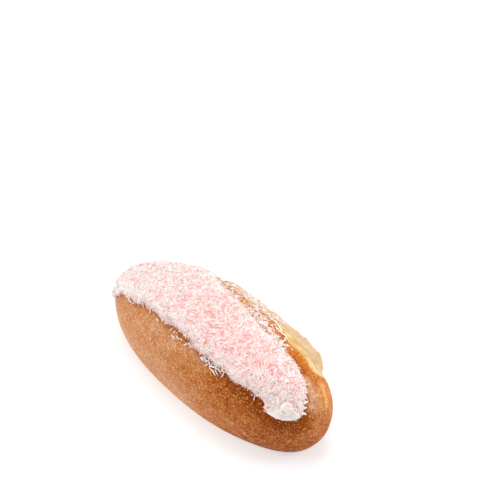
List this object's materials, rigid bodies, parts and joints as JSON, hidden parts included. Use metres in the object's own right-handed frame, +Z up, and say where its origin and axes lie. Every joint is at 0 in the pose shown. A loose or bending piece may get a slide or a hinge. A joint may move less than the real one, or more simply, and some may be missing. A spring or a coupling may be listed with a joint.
{
  "type": "iced finger bun",
  "caption": "Long soft bread roll topped with a tongue of pink icing covered in shredded coconut, for serving or display on a plate, tray or counter.",
  "frame": {"origin": "on the surface it stands on, under the middle of its bounding box", "axes": "+X along the bun towards its bare end, +Y towards its torn side, +Z up through the icing"},
  "size_m": [0.1516, 0.065, 0.0553],
  "materials": {
    "crust": "satin baked crust, with a pale torn side",
    "icing": "pale pink icing under white and pink shredded coconut"
  },
  "bodies": {
    "root": {"bun": "crust", "icing": "icing"}
  },
  "joints": []
}
